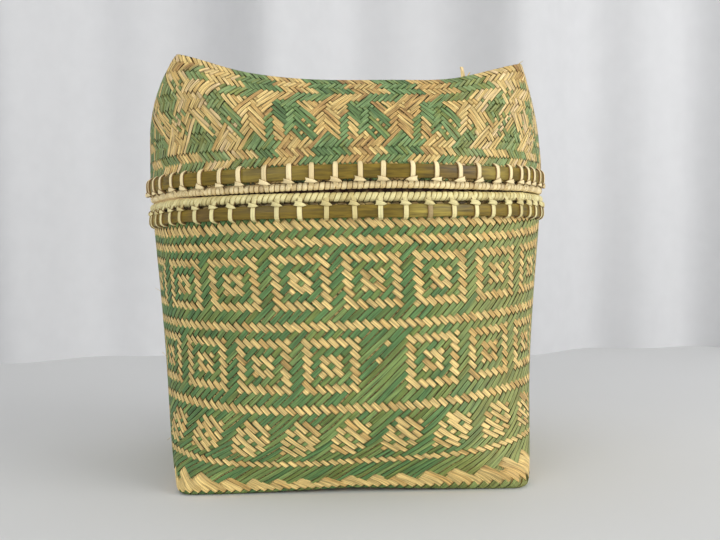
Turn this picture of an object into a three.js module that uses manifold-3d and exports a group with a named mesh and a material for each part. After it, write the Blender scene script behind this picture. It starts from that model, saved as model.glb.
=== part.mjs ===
// A woven bamboo box with a lift-off lid, in millimetres, +Z up, front towards -Y.
// The origin is on the table, under the middle of the box.
// Box and lid are baskets that turn from a square base to a nearly round mouth. Each mouth has an
// outer and an inner hoop, a rod along the edge, and a rattan binding that wraps the rod and is
// lashed down over the outer hoop. An inner basket lines the box, and its lip locates the lid.

import * as THREE from "three";
import { mergeVertices } from "three/addons/utils/BufferGeometryUtils.js";
import Module from "manifold-3d";

// The woven walls. A half width is measured across the flats of a rounded square.
const mouthHalf = 105;
const mouthCorner = 92;
const baseHalf = 88;
const baseCorner = 9;
const baseSwell = 8.5; // how far the middles of the sides swell out above the base
const swellHaste = 7; // how soon above the base they do
const cornerHaste = 5; // how soon above the base the corners turn round
const lidTopHalf = 85.5;
const lidTopCorner = 7.5;
const weaveThickness = 1.2;
const linerThickness = 0.9;
const clearance = 0.3; // between pieces that touch

// Heights of the box, from the table
const boxHeight = 147.3; // to the top of the wrapped edge
const baseFold = 3.5; // height over which the base turns into the wall
const baseArch = 2; // rise of the base edge between its corners
const baseLift = 3.5; // rise of the middle of the base
const footPad = 12; // width of the flat under each base corner
const lipHeight = 14; // the liner's lip, above the wrapped edge
const lipInset = 5.2; // from the outer face of the wall to the lip
const lipClearance = 0.5; // between the lip and the lid's inner hoop

// Heights of the lid, from its own lower edge
const lidSideHeight = 54.4; // to the top edge, midway between two horns
const lidMiddleHeight = 51.9; // to the middle of the top
const hornFrontRight = 61.9;
const hornBackRight = 63.5;
const hornBackLeft = 65;
const hornFrontLeft = 66.4;
const lidBow = 1; // rise of the lid's mouth at front and back

// The lashed rims
const lashingsPerSide = 15;
const boxWrap = 4.7; // thickness of the wrapped edge
const lidWrap = 3.9;
const boxHoopHeight = 5.9;
const lidHoopHeight = 6.5;
const hoopThickness = 3.5;
const hoopBevel = 0.9; // height over which the outer hoop's edges fall back
const boxHoopGap = 1.5; // between wrapped edge and hoop
const lidHoopGap = 1.2;
const rattanWidth = 2.6;
const rattanWrap = 0.6; // thickness of the turns round the rod
const rattanStrap = 0.9; // thickness of a lashing over the hoop
const lashingSplay = 1.6; // how much wider a lashing is where it meets the wrapped edge
const lashingReach = 2.2; // how far a lashing runs past the hoop before it enters the weave

// Shape of the walls. A fuller shoulder stays wide for longer under its horn.
const shoulderFrontRight = 1.8;
const shoulderBackRight = 2.3;
const shoulderBackLeft = 2.6;
const shoulderFrontLeft = 3;
const lidRounding = 1.55; // how late the lid's corners tighten
const hornSharpness = 2.2;
const linerSpread = 2; // how late the liner leaves the wall
const cornerCrowding = 0.6; // draws the columns of facets together at a tight corner
const columnsPerSide = lashingsPerSide;
const columns = 4 * columnsPerSide;
const boxSteps = [0, 0.05, 0.11, 0.19, 0.3, 0.46, 0.7, 1];
const lidSteps = [0, 0.2, 0.38, 0.54, 0.68, 0.8, 0.9, 1];
const topSteps = [0.25, 0.5, 0.72, 0.88];
const wrapCorners = 7;
const rodCorners = 4;

// Worked out from the sizes
const wallMiddle = -weaveThickness / 2;
const linerOuter = -weaveThickness - clearance;
const linerInner = linerOuter - linerThickness;
const lipOuter = -lipInset;
const lipInner = lipOuter - linerThickness;
const hoopInner = clearance;
const hoopOuter = hoopInner + hoopThickness;
const lidBase = boxHeight + clearance;

// One rim: where its edge, rod and hoops are. Towards is -1 where the hoop lies below the wrapped
// edge, as on the box, and 1 where it lies above, as on the lid.
function rimOf(edge, wrap, gap, hoopHeight, towards) {
  const hoopNear = edge + towards * (wrap + gap);
  const hoopFar = hoopNear + towards * hoopHeight;
  const rodRadius = wrap / 2 - rattanWrap - clearance;
  const centre = edge + (towards * wrap) / 2;
  return {
    towards,
    centre,
    wrapRadius: wrap / 2,
    rodRadius,
    wallEdge: centre + towards * (rodRadius + clearance),
    hoopNear,
    hoopFar,
    lashingEnd: hoopFar + towards * lashingReach,
  };
}
const boxRim = rimOf(boxHeight, boxWrap, boxHoopGap, boxHoopHeight, -1);
const lidRim = rimOf(lidBase, lidWrap, lidHoopGap, lidHoopHeight, 1);
const boxStraight = boxRim.lashingEnd - clearance; // the wall is upright from here to the mouth
const lidStraight = lidRim.lashingEnd + clearance;

// A point of a rounded square and the direction that faces out there. Column 0 is the middle of
// the front, and the columns run anticlockwise, seen from above.
function sectionPoint(half, corner, column, crowding) {
  const side = Math.floor(column / columnsPerSide);
  const fromCorner = crowdedPlace(column, crowding);
  const flat = half - corner;
  const arc = (corner * Math.PI) / 4;
  const distance = fromCorner * (flat + arc);
  const turned = THREE.MathUtils.clamp(distance / corner, -Math.PI / 4, Math.PI / 4);
  const straight = Math.max(Math.abs(distance) - arc, 0);
  const angle = Math.PI / 4 + turned;
  const x = flat + corner * Math.sin(angle) - (distance < 0 ? straight : 0);
  const y = -flat - corner * Math.cos(angle) + (distance > 0 ? straight : 0);
  const quarter = (side * Math.PI) / 2;
  const up = new THREE.Vector3(0, 0, 1);
  return {
    point: new THREE.Vector3(x, y, 0).applyAxisAngle(up, quarter),
    outward: new THREE.Vector3(Math.sin(angle), -Math.cos(angle), 0).applyAxisAngle(up, quarter),
  };
}

// Where a column lies between two side middles: -1 and 1 there, 0 at the corner between them.
function crowdedPlace(column, crowding) {
  const along = 2 * ((column / columnsPerSide) % 1) - 1;
  return Math.sign(along) * Math.abs(along) ** (1 + crowding);
}

// A ring of points, one for each column. Half is a number or a function of the column, and
// height a number or a function of the column and the point.
function ring(half, corner, crowding, offset, height) {
  const points = [];
  for (let column = 0; column < columns; column += 1) {
    const halfHere = typeof half === "number" ? half : half(column);
    const { point, outward } = sectionPoint(halfHere, corner, column, crowding);
    point.addScaledVector(outward, offset);
    point.z = typeof height === "number" ? height : height(column, point);
    points.push(point);
  }
  return points;
}

// A solid from rings: joined end to end into a loop, or closed with a fan at each end. Each
// panel is folded along its shorter diagonal, so that nested layers fold alike.
function loft(rings, isLoop) {
  const points = rings.flat();
  const positions = points.flatMap((p) => [p.x, p.y, p.z]);
  const index = [];
  const bands = isLoop ? rings.length : rings.length - 1;
  for (let band = 0; band < bands; band += 1) {
    const here = band * columns;
    const there = ((band + 1) % rings.length) * columns;
    for (let column = 0; column < columns; column += 1) {
      const next = (column + 1) % columns;
      const [a, b, c, d] = [here + column, here + next, there + next, there + column];
      const isFirstShorter = points[a].distanceTo(points[c]) <= points[b].distanceTo(points[d]);
      if (isFirstShorter) index.push(a, b, c, a, c, d);
      else index.push(a, b, d, b, c, d);
    }
  }
  if (!isLoop) {
    fan(positions, index, 0, rings[0], false);
    fan(positions, index, (rings.length - 1) * columns, rings[rings.length - 1], true);
  }
  const geometry = new THREE.BufferGeometry();
  geometry.setAttribute("position", new THREE.Float32BufferAttribute(positions, 3));
  geometry.setIndex(index);
  geometry.computeVertexNormals();
  return geometry;
}

function fan(positions, index, start, points, isLast) {
  const centre = points.reduce((sum, p) => sum.add(p), new THREE.Vector3());
  centre.divideScalar(points.length);
  const middle = positions.length / 3;
  positions.push(centre.x, centre.y, centre.z);
  for (let column = 0; column < columns; column += 1) {
    const next = (column + 1) % columns;
    if (isLast) index.push(start + column, start + next, middle);
    else index.push(start + next, start + column, middle);
  }
}

// The box's wall at a share of its height, 0 at the base and 1 where the upright mouth begins.
function boxRing(share, depth) {
  const swollen = baseSwell * (1 - (1 - share) ** swellHaste);
  const half = THREE.MathUtils.lerp(baseHalf, mouthHalf - baseSwell, share) + swollen;
  const corner = THREE.MathUtils.lerp(baseCorner, mouthCorner, 1 - (1 - share) ** cornerHaste);
  const arch = (column) => archHeight(column) * (1 - share) ** 2;
  const height = (column) => arch(column) + THREE.MathUtils.lerp(baseFold, boxStraight, share);
  return ring(half, corner, cornerCrowding * (1 - share), depth, height);
}

// The base edge rises between its corners, and is flat at each corner.
function archHeight(column) {
  const fromCorner = Math.abs(crowdedPlace(column, cornerCrowding));
  return baseArch * Math.max(0, (fromCorner - 0.2) / 0.8) ** 1.3;
}

// The bottom of the box, from the middle out to the fold, raised by a layer's own depth.
function bottomRings(rise) {
  const flatRing = (half, height) => ring(half, baseCorner / 3, cornerCrowding, 0, height);
  const edgeHeight = (column) => archHeight(column) + rise;
  const fold = baseHalf - baseFold;
  return [
    flatRing(baseHalf / 2, baseLift + rise),
    flatRing(fold - footPad, edgeHeight),
    ring(fold, baseCorner - baseFold, cornerCrowding, 0, edgeHeight),
  ];
}

function mouthRing(offset, height) {
  return ring(mouthHalf, mouthCorner, 0, offset, height);
}

function bodyWeave() {
  const outer = boxSteps.map((share) => boxRing(share, 0));
  const inner = boxSteps.map((share) => boxRing(share, -weaveThickness)).reverse();
  return loft([
    ...bottomRings(0),
    ...outer,
    mouthRing(0, boxRim.wallEdge),
    mouthRing(-weaveThickness, boxRim.wallEdge),
    ...inner,
    ...bottomRings(weaveThickness).reverse(),
  ]);
}

// The inner basket hugs the wall near the base and leaves it towards the mouth, to pass inside
// the inner hoop and stand up as a lip.
function bodyLiner() {
  const drawn = (from, to, share) => THREE.MathUtils.lerp(from, to, share ** linerSpread);
  const lipTop = boxHeight + lipHeight;
  const outer = boxSteps.map((share) => boxRing(share, drawn(linerOuter, lipOuter, share)));
  const inner = boxSteps.map((share) => boxRing(share, drawn(linerInner, lipInner, share))).reverse();
  return loft([
    ...bottomRings(-linerOuter),
    ...outer,
    mouthRing(lipOuter, lipTop),
    mouthRing(lipInner, lipTop),
    ...inner,
    ...bottomRings(-linerInner).reverse(),
  ]);
}

// The lid's mouth rises a little at front and back, so that it meets the box at its sides.
function bowed(height) {
  return (column, point) => height + lidBow * (point.y / mouthHalf) ** 2;
}

// A value given at the four corners, shared out round the lid. The corners are in the order of
// the columns, from front right to front left.
function aroundLid(atCorners, column) {
  const place = column / columnsPerSide + 3.5;
  const before = atCorners[Math.floor(place) % 4];
  const after = atCorners[(Math.floor(place) + 1) % 4];
  return THREE.MathUtils.lerp(before, after, THREE.MathUtils.smoothstep(place % 1, 0, 1));
}

// The lid's wall at a share of its rise, 0 where it leaves the upright and 1 at the top edge.
function lidRing(share, depth) {
  const shoulders = [shoulderFrontRight, shoulderBackRight, shoulderBackLeft, shoulderFrontLeft];
  const half = (column) =>
    THREE.MathUtils.lerp(mouthHalf, lidTopHalf, share ** aroundLid(shoulders, column));
  const corner = THREE.MathUtils.lerp(mouthCorner, lidTopCorner, share ** lidRounding);
  const height = (column, point) => {
    const low = bowed(lidStraight)(column, point);
    return THREE.MathUtils.lerp(low, lidBase + lidEdgeHeight(column), share) + depth * share ** 2;
  };
  return ring(half, corner, cornerCrowding * share, depth, height);
}

// The top edge sags between its horns.
function lidEdgeHeight(column) {
  const horns = [hornFrontRight, hornBackRight, hornBackLeft, hornFrontLeft];
  const horn = horns[Math.floor(column / columnsPerSide)];
  const nearness = 1 - Math.abs(crowdedPlace(column, cornerCrowding));
  return THREE.MathUtils.lerp(lidSideHeight, horn, nearness ** hornSharpness);
}

// The lid's top, from its middle out to the last ring before the edge.
function lidTopRings(depth) {
  return topSteps.map((scale) => {
    const height = (column) => {
      const edge = lidEdgeHeight(column) - lidMiddleHeight;
      return lidBase + lidMiddleHeight + edge * scale ** 2 + depth;
    };
    const half = (lidTopHalf + depth) * scale;
    return ring(half, (lidTopCorner + depth) * scale, cornerCrowding, 0, height);
  });
}

function lidShell(outerDepth, innerDepth, lowerEdge) {
  const wall = (depth) => lidSteps.map((share) => lidRing(share, depth)).reverse();
  return loft([
    ...lidTopRings(innerDepth),
    ...wall(innerDepth),
    mouthRing(innerDepth, bowed(lowerEdge)),
    mouthRing(outerDepth, bowed(lowerEdge)),
    ...wall(outerDepth).reverse(),
    ...lidTopRings(outerDepth).reverse(),
  ]);
}

// A hoop with one section all round, from pairs of offset and height, anticlockwise.
function hoop(section, isLid) {
  const rings = section.map(([offset, height]) => mouthRing(offset, isLid ? bowed(height) : height));
  return loft(rings, true);
}

function outerHoop(rim, isLid) {
  const low = Math.min(rim.hoopNear, rim.hoopFar);
  const high = Math.max(rim.hoopNear, rim.hoopFar);
  return hoop(
    [
      [hoopInner, low],
      [hoopOuter, low + hoopBevel],
      [hoopOuter, high - hoopBevel],
      [hoopInner, high],
    ],
    isLid,
  );
}

function innerHoop(rim, outer, inner, isLid) {
  const low = Math.min(rim.hoopNear, rim.hoopFar);
  const high = Math.max(rim.hoopNear, rim.hoopFar);
  return hoop(
    [
      [inner, low],
      [outer, low],
      [outer, high],
      [inner, high],
    ],
    isLid,
  );
}

// Points round the rod's axis, at even angles from one side of the wall to the other.
function aroundRod(rim, radius, count) {
  const opening = Math.asin((weaveThickness / 2 + clearance) / radius);
  const points = [];
  for (let i = 0; i < count; i += 1) {
    const angle = -Math.PI / 2 + opening + ((2 * Math.PI - 2 * opening) * i) / (count - 1);
    const height = -rim.towards * radius * Math.sin(angle);
    points.push([wallMiddle + radius * Math.cos(angle), rim.centre + height]);
  }
  return rim.towards < 0 ? points : points.reverse();
}

// The rod's corners face those of the wrapping round it, with one more towards the wall.
function rimRod(rim, isLid) {
  const wrapInner = rim.wrapRadius - rattanWrap;
  const scale = rim.rodRadius / wrapInner;
  const section = aroundRod(rim, wrapInner, rodCorners).map(([offset, height]) => [
    wallMiddle + (offset - wallMiddle) * scale,
    rim.centre + (height - rim.centre) * scale,
  ]);
  const towardsWall = [wallMiddle, rim.centre + rim.towards * rim.rodRadius];
  return hoop([...section, towardsWall], isLid);
}

// The wrapping clasps the rod and is open towards the wall, which enters it there.
function wrapping(rim, isLid) {
  const outside = aroundRod(rim, rim.wrapRadius, wrapCorners);
  const inside = aroundRod(rim, rim.wrapRadius - rattanWrap, rodCorners).reverse();
  return hoop([...outside, ...inside], isLid);
}

// One lashing, as its side outline: from the wrapping, over the outer hoop and back into the
// weave. It is extruded across its width, and splays where it meets the wrapping.
function lashing(rim) {
  const at = (offset, height) => new THREE.Vector2(offset, rim.towards * height);
  const fromEdge = (offset, turn, reach) =>
    at(
      wallMiddle + rim.wrapRadius * reach * Math.cos(turn) + offset,
      rim.towards * rim.centre - rim.wrapRadius * reach * Math.sin(turn),
    );
  const near = rim.towards * rim.hoopNear;
  const far = rim.towards * rim.hoopFar;
  const end = rim.towards * rim.lashingEnd;
  const strapInner = hoopOuter + clearance;
  const strapOuter = strapInner + rattanStrap;
  const outline = [
    fromEdge(0, 0.47, 0.88),
    at(strapOuter, near - clearance),
    at(strapOuter, far + clearance),
    at(hoopInner, end),
    at(strapInner, far + clearance),
    at(strapInner, near - clearance),
    fromEdge(0, -0.39, 0.83),
  ];
  const options = { depth: rattanWidth, bevelEnabled: false, steps: 1 };
  const geometry = new THREE.ExtrudeGeometry(new THREE.Shape(outline), options);
  geometry.translate(0, 0, -rattanWidth / 2);
  const position = geometry.getAttribute("position");
  for (let i = 0; i < position.count; i += 1) {
    const isAtEdge = rim.towards * position.getY(i) < near - 2 * clearance;
    if (isAtEdge) position.setZ(i, position.getZ(i) * lashingSplay);
  }
  // The outline's plane stands upright, with its first axis facing out.
  return geometry.applyMatrix4(
    new THREE.Matrix4().set(1, 0, 0, 0, 0, 0, -1, 0, 0, 1, 0, 0, 0, 0, 0, 1),
  );
}

// A lashing lies flat on the middle of a facet, between two columns.
function placedLashing(rim, column, isLid) {
  const before = sectionPoint(mouthHalf, mouthCorner, column, 0);
  const after = sectionPoint(mouthHalf, mouthCorner, (column + 1) % columns, 0);
  const point = before.point.lerp(after.point, 0.5);
  const outward = before.outward.add(after.outward);
  const turn = new THREE.Matrix4().makeRotationZ(Math.atan2(outward.y, outward.x));
  const rise = isLid ? bowed(0)(column, point) : 0;
  const place = new THREE.Matrix4().makeTranslation(point.x, point.y, rise);
  return lashing(rim).applyMatrix4(place.multiply(turn));
}

const wasm = await Module();
wasm.setup();

function toSolid(geometry) {
  const bare = geometry.index ? geometry.toNonIndexed() : geometry.clone();
  bare.deleteAttribute("normal");
  bare.deleteAttribute("uv");
  const merged = mergeVertices(bare, 1e-4);
  const vertProperties = merged.getAttribute("position").array;
  const triVerts = new Uint32Array(merged.index.array);
  return new wasm.Manifold(new wasm.Mesh({ numProp: 3, vertProperties, triVerts }));
}

function toGeometry(solid) {
  const mesh = solid.getMesh();
  const geometry = new THREE.BufferGeometry();
  geometry.setAttribute("position", new THREE.BufferAttribute(mesh.vertProperties, 3));
  geometry.setIndex(new THREE.BufferAttribute(mesh.triVerts, 1));
  geometry.computeVertexNormals();
  return geometry;
}

// The binding: the wrapping and every lashing, one rattan strip on the real object.
function rimBinding(rim, isLid) {
  let solid = toSolid(wrapping(rim, isLid));
  for (let column = 0; column < columns; column += 1)
    solid = solid.add(toSolid(placedLashing(rim, column, isLid)));
  return toGeometry(solid);
}

const finishes = {
  woven: { color: 0x97975f, roughness: 0.62 },
  wovenLid: { color: 0xa89a63, roughness: 0.62 },
  plainBamboo: { color: 0xc9a871, roughness: 0.66 },
  splitBamboo: { color: 0x97895a, roughness: 0.5 },
  rod: { color: 0xbf9f68, roughness: 0.7 },
  paleRattan: { color: 0xdcd4a2, roughness: 0.55 },
  warmRattan: { color: 0xe3c9a1, roughness: 0.55 },
};

function piece(name, geometry, finish) {
  const material = new THREE.MeshStandardMaterial({ ...finishes[finish], metalness: 0 });
  const mesh = new THREE.Mesh(geometry, material);
  mesh.name = name;
  return mesh;
}

const box = new THREE.Group();
box.add(
  piece("body_weave", bodyWeave(), "woven"),
  piece("body_liner", bodyLiner(), "plainBamboo"),
  piece("body_outer_hoop", outerHoop(boxRim, false), "splitBamboo"),
  piece("body_inner_hoop", innerHoop(boxRim, linerOuter, lipOuter + clearance, false), "splitBamboo"),
  piece("body_rim_core", rimRod(boxRim, false), "rod"),
  piece("body_rim_binding", rimBinding(boxRim, false), "paleRattan"),
);

const lidHoopOuter = linerInner - clearance;
const lidHoopInner = lipOuter + lipClearance;
const lid = new THREE.Group();
lid.add(
  piece("lid_weave", lidShell(0, -weaveThickness, lidRim.wallEdge), "wovenLid"),
  piece("lid_liner", lidShell(linerOuter, linerInner, lidRim.hoopNear), "plainBamboo"),
  piece("lid_outer_hoop", outerHoop(lidRim, true), "splitBamboo"),
  piece("lid_inner_hoop", innerHoop(lidRim, lidHoopOuter, lidHoopInner, true), "splitBamboo"),
  piece("lid_rim_core", rimRod(lidRim, true), "rod"),
  piece("lid_rim_binding", rimBinding(lidRim, true), "warmRattan"),
);

const wovenBox = new THREE.Group();
wovenBox.add(box, lid);

export default wovenBox;
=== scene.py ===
import math

import bmesh
import bpy
import numpy as np
from bpy.props import FloatProperty, FloatVectorProperty, IntProperty, PointerProperty
from mathutils import Euler, Matrix, Vector


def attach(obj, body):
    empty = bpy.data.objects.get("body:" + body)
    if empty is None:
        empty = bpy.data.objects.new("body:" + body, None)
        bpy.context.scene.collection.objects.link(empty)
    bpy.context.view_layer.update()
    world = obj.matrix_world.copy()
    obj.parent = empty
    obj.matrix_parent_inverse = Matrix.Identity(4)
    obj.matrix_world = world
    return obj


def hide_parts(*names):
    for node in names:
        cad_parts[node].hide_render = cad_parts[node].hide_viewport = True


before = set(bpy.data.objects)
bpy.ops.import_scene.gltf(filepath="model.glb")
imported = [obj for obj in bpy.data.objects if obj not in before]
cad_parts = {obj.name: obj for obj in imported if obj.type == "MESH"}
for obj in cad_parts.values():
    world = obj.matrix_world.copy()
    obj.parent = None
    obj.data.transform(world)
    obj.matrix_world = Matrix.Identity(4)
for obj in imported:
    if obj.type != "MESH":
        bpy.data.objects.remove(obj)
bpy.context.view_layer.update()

bl_info = {
    "name": "Woven bamboo box",
    "version": (1, 0, 0),
    "blender": (4, 5, 0),
    "location": "3D View > Sidebar > Basket",
    "description": "Builds the strips, hoops and lashed rims of a lidded bamboo basket box",
    "category": "Add Mesh",
}


# ---------------------------------------------------------------- settings

def length(label, text, metres):
    return FloatProperty(name=label, description=text, default=metres, unit='LENGTH', precision=5)


def colour(label, text, value):
    return FloatVectorProperty(name=label, description=text, default=value, size=3, subtype='COLOR',
                               min=0.0, max=1.0)


def number(label, text, value):
    return IntProperty(name=label, description=text, default=value)


class BasketSizes(bpy.types.PropertyGroup):
    mouth_half: length("Mouth", "Half the width of the two rims", 0.105)
    mouth_corner: length("Mouth corner", "Corner radius of the rims in plan", 0.092)
    base_half: length("Base", "Half the width of the base", 0.088)
    base_corner: length("Base corner", "Corner radius of the base in plan", 0.009)
    base_swell: length("Base swell", "How far the sides swell out just above the base", 0.0085)
    top_half: length("Lid top", "Half the width of the lid's top", 0.0855)
    top_corner: length("Lid top corner", "Corner radius of the lid's top in plan", 0.0075)
    base_fold: length("Base fold", "Radius of the fold round the base", 0.0035)
    box_straight: length("Box straight", "Height at which the wall of the box turns upright", 0.1327)
    lid_base: length("Lid base", "Height of the lid's lowest edge", 0.1476)
    lid_straight: length("Lid straight", "Height up to which the wall of the lid is upright", 0.1617)
    lid_side: length("Lid edge", "Height of the top's edges above the lid's lowest edge, mid side", 0.0544)
    lid_middle: length("Lid middle", "Height of the middle of the top above the lid's lowest edge", 0.0519)
    horn_front_right: length("Front right horn", "Height above the lid's lowest edge", 0.0619)
    horn_back_right: length("Back right horn", "Height above the lid's lowest edge", 0.0635)
    horn_back_left: length("Back left horn", "Height above the lid's lowest edge", 0.065)
    horn_front_left: length("Front left horn", "Height above the lid's lowest edge", 0.0664)
    wall_middle: length("Weave middle", "How far the middle of the weave lies inside its face", 0.0006)
    strip_thickness: length("Strip thickness", "Thickness of a bamboo strip", 0.00045)
    strip_lift: length("Strip lift", "Rise and fall of a strip at a crossing", 0.000375)
    liner_thickness: length("Liner strip thickness", "Thickness of a plain inner strip", 0.00035)
    strap_width: length("Lashing width", "Width of a lashing over its hoop", 0.00245)
    strap_thickness: length("Lashing thickness", "Thickness of a lashing", 0.0007)
    box_strips: number("Box strips", "Strips round the wall of the box, each way", 156)
    lid_strips: number("Lid strips", "Strips round the wall of the lid, each way", 280)
    liner_strips: number("Liner strips", "Strips round a plain inner wall, each way", 100)
    lashings: number("Lashings", "Lashings round each rim", 60)
    box_turns: number("Box turns", "Turns of rattan round the rod of the box", 240)
    lid_turns: number("Lid turns", "Turns of rattan round the rod of the lid", 260)
    seed: number("Seed", "Start of the small hand-made differences", 11)


class BasketColours(bpy.types.PropertyGroup):
    straw: colour("Straw", "Pale natural strip", (0.765, 0.562, 0.218))
    tan: colour("Tan", "Middling natural strip", (0.69, 0.50, 0.188))
    amber: colour("Amber", "Darkest natural strip", (0.60, 0.395, 0.135))
    leaf: colour("Leaf", "Pale green strip", (0.215, 0.315, 0.10))
    olive: colour("Olive", "Yellower green strip", (0.18, 0.23, 0.055))
    teal: colour("Teal", "Bluer green strip", (0.115, 0.222, 0.074))
    pink_straw: colour("Pink straw", "Palest natural strip of the lid", (0.74, 0.55, 0.29))
    brown: colour("Brown", "Brownest natural strip of the lid", (0.40, 0.235, 0.085))
    deep_teal: colour("Deep teal", "Darkest green strip of the lid", (0.075, 0.165, 0.06))
    faded_teal: colour("Faded teal", "Middling green strip of the lid", (0.19, 0.32, 0.13))
    faded_leaf: colour("Faded leaf", "Palest green strip of the lid", (0.32, 0.42, 0.18))
    hoop: colour("Hoop", "Skin of the split bamboo hoops", (0.200, 0.134, 0.0145))
    hoop_pale: colour("Pale hoop", "Pale places of the hoops", (0.34, 0.265, 0.055))
    hoop_stain: colour("Stained hoop", "Grey brown places of the hoops", (0.13, 0.08, 0.03))
    rattan_box: colour("Box rattan", "Yellow cream rattan of the box", (0.82, 0.73, 0.36))
    rattan_lid: colour("Lid rattan", "Warm cream rattan of the lid", (0.92, 0.76, 0.425))
    # stain of some turns and lashings, and painted shade at the edges of the rattan and where the lashings go
    # into the weave
    rattan_shade: colour("Rattan shade", "Brown of rattan where it has darkened", (0.24, 0.13, 0.05))
    # painted shade: a dark red brown band on the lip where the rims meet, standing in for the shade in the gap
    # between them
    maroon: colour("Maroon", "Dark red brown of the lip where the two rims meet", (0.05, 0.014, 0.010))
    plain: colour("Plain strip", "Undyed strip of the inner layers", (0.60, 0.42, 0.19))
    plain_dark: colour("Dark plain strip", "Darker undyed strip of the inner layers", (0.45, 0.28, 0.11))
    # painted shade: the colour mixed in at the edges of strips and hoops, standing in for the shadow in the gaps
    # between them
    gap: colour("Gap", "Dark brown between the strips", (0.022, 0.011, 0.007))
    floor: colour("Floor", "Pale table", (0.69, 0.69, 0.68))
    backdrop: colour("Backdrop", "Pale cloth behind", (0.66, 0.66, 0.665))


# half the flat stretch of a strip where it crosses another, and half its width, in spacings of the strips
HALF_CROSSING = 0.3
HALF_STRIP = 0.455
# rows of the lid's wall down to its foot, the height in mm of the rows below that, and strips of one colour
WALL_ROWS = 36.0
FOOT_ROW = 1.26
COLOUR_RUN = 7
# rise of the base's edge between its corners and of the middle of the base, in mm
BASE_ARCH = 2
BASE_LIFT = 3.5
WAYS = ((1, "rising"), (-1, "falling"))


def size(name):
    """A length of the settings in millimetres."""
    return getattr(bpy.context.scene.basket_sizes, name) * 1000.0


def count(name):
    return getattr(bpy.context.scene.basket_sizes, name)


def paint(name, *factors):
    """A colour of the settings, with one factor or three of its own for red, green and blue."""
    colour = getattr(bpy.context.scene.basket_colours, name)
    factors = factors * 3 if len(factors) == 1 else factors or (1, 1, 1)
    return tuple(min(1.0, c * k) for c, k in zip(colour, factors)) + (1.0,)


# ---------------------------------------------------------------- shapes, in millimetres

def mix(a, b, share):
    return a + (b - a) * share


def smooth(share):
    share = np.clip(share, 0, 1)
    return share * share * (3 - 2 * share)


def centred(value, period):
    """The value brought to between minus and plus half of the period."""
    return (value + period / 2) % period - period / 2


def around(place, centre=0):
    """Distance along the rim from a place, in quarters, either way round."""
    return centred(place - centre, 4)


def outline(place, half, corner):
    """Points and outward directions of the plan outline.

    place is 0 at the front middle, 1 at the right middle, 2 at the back, 3 at the left."""
    side = np.floor(place)
    flat = half - corner
    arc = corner * math.pi / 4
    distance = (2 * (place - side) - 1) * (flat + arc)
    angle = math.pi / 4 + np.clip(distance / np.maximum(corner, 1e-6), -math.pi / 4, math.pi / 4)
    straight = np.maximum(np.abs(distance) - arc, 0)
    out_x, out_y = np.sin(angle), -np.cos(angle)
    x = flat + corner * out_x - np.where(distance < 0, straight, 0)
    y = -flat + corner * out_y + np.where(distance > 0, straight, 0)
    turn = side.astype(int) % 4
    c, s = np.choose(turn, [1, 0, -1, 0]), np.choose(turn, [0, 1, 0, -1])
    return c * x - s * y, s * x + c * y, c * out_x - s * out_y, s * out_x + c * out_y


def corner_share(place):
    """-1 to 1 along each quarter of the outline, 0 at its corner."""
    return 2 * (place - np.floor(place)) - 1


def rim_sag(x):
    """The rims hang a little lower on the left, and droop at both sides."""
    return -2.6 * np.clip(-x / size("mouth_half"), 0, 1) ** 2.2 - 1.2 * smooth((np.abs(x) - 84) / 24)


def lid_bow(x, y):
    """How far the lid's mouth stands off the box: it arches up at the front and the back."""
    arch = np.where(y < 0, 1.25 * np.exp(-((x - 16) / 46) ** 2), (y / size("mouth_half")) ** 2)
    return arch * np.clip(np.abs(y) / 40, 0, 1) + rim_sag(x)


def snug(place, offset, lid):
    """The hoops lie closer to the wall at the two sides, above all those of the box."""
    right, left = (np.exp(-((place % 4 - side) / 0.35) ** 2) for side in (1, 3))
    closer = 1.4 * right + 0.2 * left if lid else 2.1 * right + 1.9 * left
    return offset - closer * np.clip((offset - 0.5) / 2.9, 0, 1)


def horn_edge(side, share):
    """Height of the top's edge: it rises from the middle of a side to a blunt horn at each corner."""
    horns = np.array([size(f"horn_{n}") for n in ("front_right", "back_right", "back_left", "front_left")])
    close = 1 - np.abs(share)
    edge = mix(size("lid_side"), horns[side], np.clip(close, 0, 1) ** 2.2)
    blunt = np.array([0.3, 0.6, 0.6, 1.0])[side]
    hollow = np.where((side == 0) & (share < 0), 1.9, 0.0)
    edge = edge + blunt * 1.6 * np.exp(-((np.abs(share) - 0.1) / 0.2) ** 2)
    return edge - hollow * np.exp(-((np.abs(share) - 0.42) / 0.26) ** 2)


def base_arch(press):
    """Rise of the base's edge; press is 0 at its corners, which lie flat, and 1 between them."""
    return BASE_ARCH * np.clip((press - 0.2) / 0.8, 0, None) ** 1.3


def box_wall(place, height, depth):
    """The wall of the box. Below the fold it runs round the edge of the base and in under it."""
    fold, straight = size("base_fold"), size("box_straight")
    rise = np.clip((height - fold) / (straight - fold), 0, 1)
    press = np.abs(corner_share(place)) ** (1.6 / (1 + 0.6 * (1 - rise)))
    swell = size("base_swell")
    half = mix(size("base_half"), size("mouth_half") - swell, rise) + swell * (1 - (1 - rise) ** 7)
    corner = mix(size("base_corner"), size("mouth_corner"), 1 - (1 - rise) ** 5)
    under = np.clip(fold - height, 0, None)
    bend = np.clip(under / fold, 0, math.pi / 2)
    inward = fold * (1 - np.cos(bend)) + np.clip(under - fold * math.pi / 2, 0, None)
    x, y, out_x, out_y = outline(place, half, corner)
    reach = depth * np.cos(bend) - inward
    z = np.maximum(height, fold) - (fold + depth) * np.sin(bend) + base_arch(press) * (1 - rise) ** 2
    return x + out_x * reach, y + out_y * reach, z + rim_sag(x) * rise ** 3


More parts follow.
